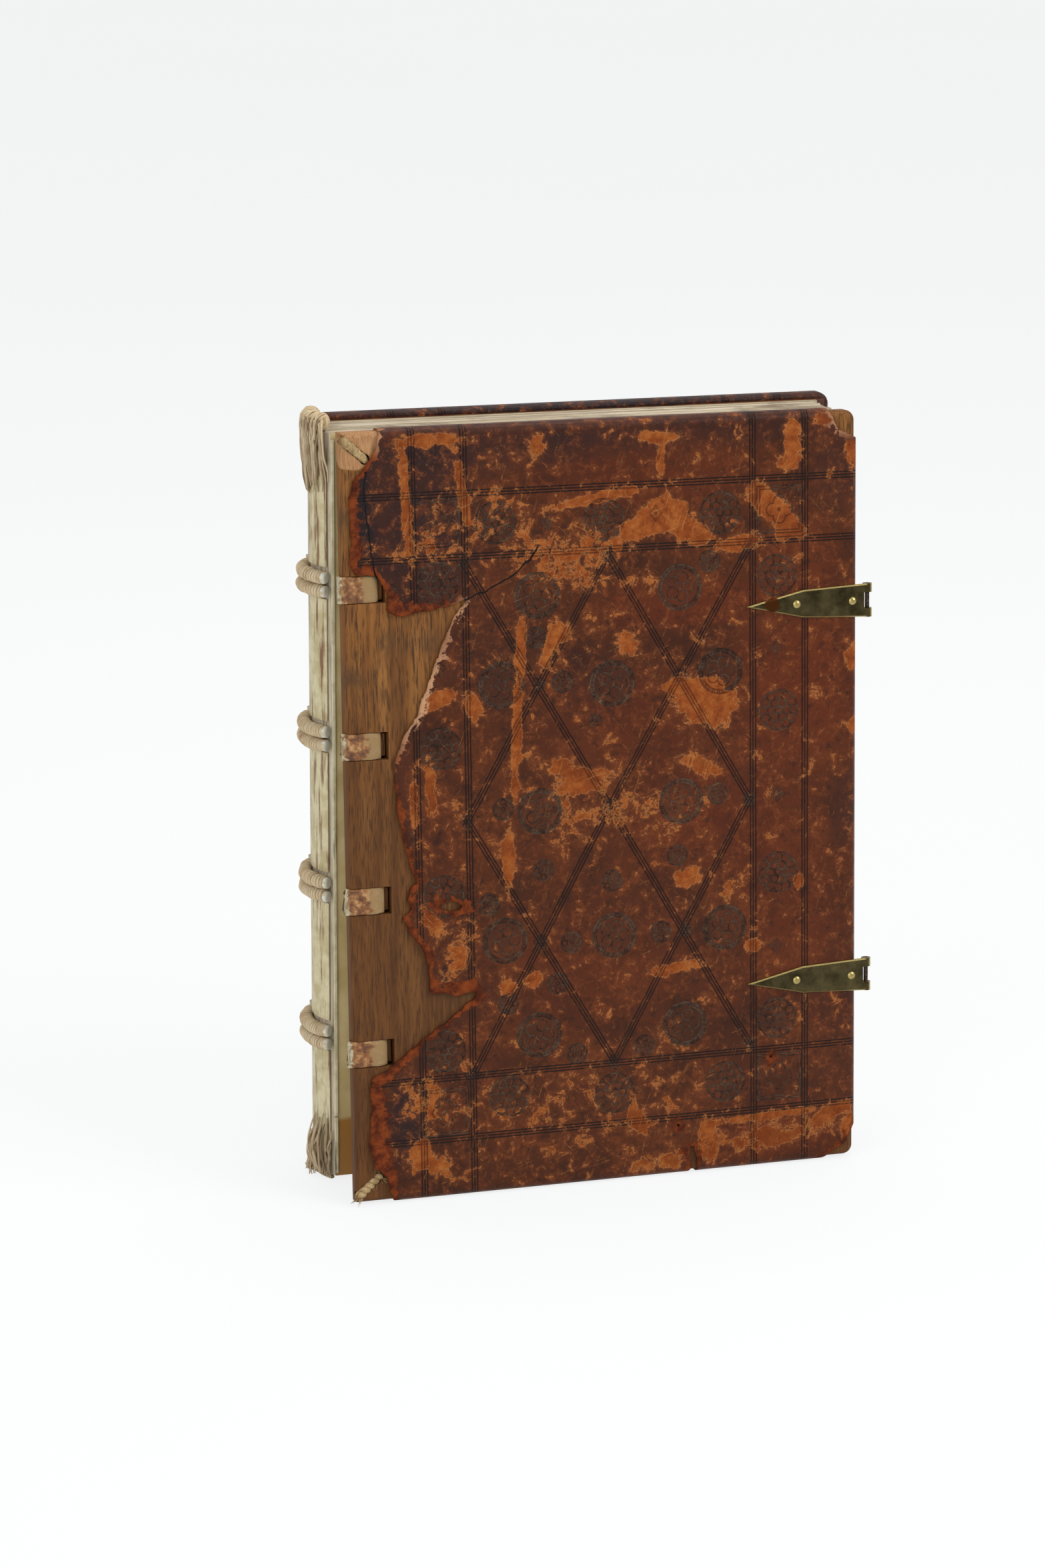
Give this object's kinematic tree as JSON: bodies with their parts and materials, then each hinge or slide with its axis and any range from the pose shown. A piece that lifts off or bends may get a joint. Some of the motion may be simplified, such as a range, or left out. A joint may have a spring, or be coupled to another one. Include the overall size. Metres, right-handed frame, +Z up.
{
  "type": "wooden-board leather-covered book",
  "caption": "Large antique book standing on its tail: wooden boards in torn, blind-tooled leather, bare sewn spine, catch plates, front board broken off and leaning.",
  "frame": {"origin": "middle of the overall box, on the floor that the book stands on", "axes": "+Z up from tail to head, the front cover faces -Y, the spine is at -X and the fore-edge at +X"},
  "size_m": [0.2344, 0.0678, 0.32],
  "materials": {
    "oak_board": "bare, quarter-sawn, aged",
    "tooled_leather": "blind-tooled calf, rubbed and cracked",
    "lacing_wedge": "rough",
    "tawed_thong": "alum-tawed, stained",
    "linen_thread": "packed linen thread",
    "hemp_cord": "twisted, frayed",
    "vellum": "parchment with old glue",
    "pastedown_paper": "laid paper, yellowed",
    "paper_leaves": "rag paper leaves, edges grimy",
    "brass_rivet": "worn bright",
    "iron_bar": "dark",
    "brass_plate": "dark patina, bright edges"
  },
  "bodies": {
    "book": {"back_flyleaf": "vellum", "front_board": "oak_board", "front_board_leather": "tooled_leather", "front_flyleaf": "vellum", "front_head_slip": "hemp_cord", "front_pastedown": "pastedown_paper", "front_tail_slip": "hemp_cord", "front_thong_stub_1": "tawed_thong", "front_thong_stub_2": "tawed_thong", "front_thong_stub_3": "tawed_thong", "front_thong_stub_4": "tawed_thong", "front_thong_wedge_1": "lacing_wedge", "front_thong_wedge_2": "lacing_wedge", "front_thong_wedge_3": "lacing_wedge", "front_thong_wedge_4": "lacing_wedge", "head_endband_core": "hemp_cord", "head_endband_threads": "linen_thread", "joint_guard_lower": "vellum", "joint_guard_upper": "vellum", "lower_catch_bar": "iron_bar", "lower_catch_plate": "brass_plate", "lower_catch_rivets": "brass_rivet", "sewing_wrap_1": "linen_thread", "sewing_wrap_2": "linen_thread", "sewing_wrap_3": "linen_thread", "sewing_wrap_4": "linen_thread", "spine_lining_1": "vellum", "spine_lining_2": "vellum", "spine_lining_3": "vellum", "spine_lining_4": "vellum", "spine_lining_5": "vellum", "spine_thong_1": "tawed_thong", "spine_thong_2": "tawed_thong", "spine_thong_3": "tawed_thong", "spine_thong_4": "tawed_thong", "tail_endband_core": "hemp_cord", "tail_endband_threads": "linen_thread", "text_block": "paper_leaves", "upper_catch_bar": "iron_bar", "upper_catch_plate": "brass_plate", "upper_catch_rivets": "brass_rivet"},
    "back_cover": {"back_board": "oak_board", "back_board_leather": "tooled_leather", "back_head_slip": "hemp_cord", "back_pastedown": "pastedown_paper", "back_tail_slip": "hemp_cord", "back_thong_1": "tawed_thong", "back_thong_2": "tawed_thong", "back_thong_3": "tawed_thong", "back_thong_4": "tawed_thong", "back_thong_wedge_1": "lacing_wedge", "back_thong_wedge_2": "lacing_wedge", "back_thong_wedge_3": "lacing_wedge", "back_thong_wedge_4": "lacing_wedge"}
  },
  "joints": [
    {"name": "back_cover_hinge", "type": "hinge", "parent": "book", "child": "back_cover", "pos_m": [-0.10708, 0.02852, 0], "axis": [0, 0, 1], "range_deg": [0, 110]}
  ]
}
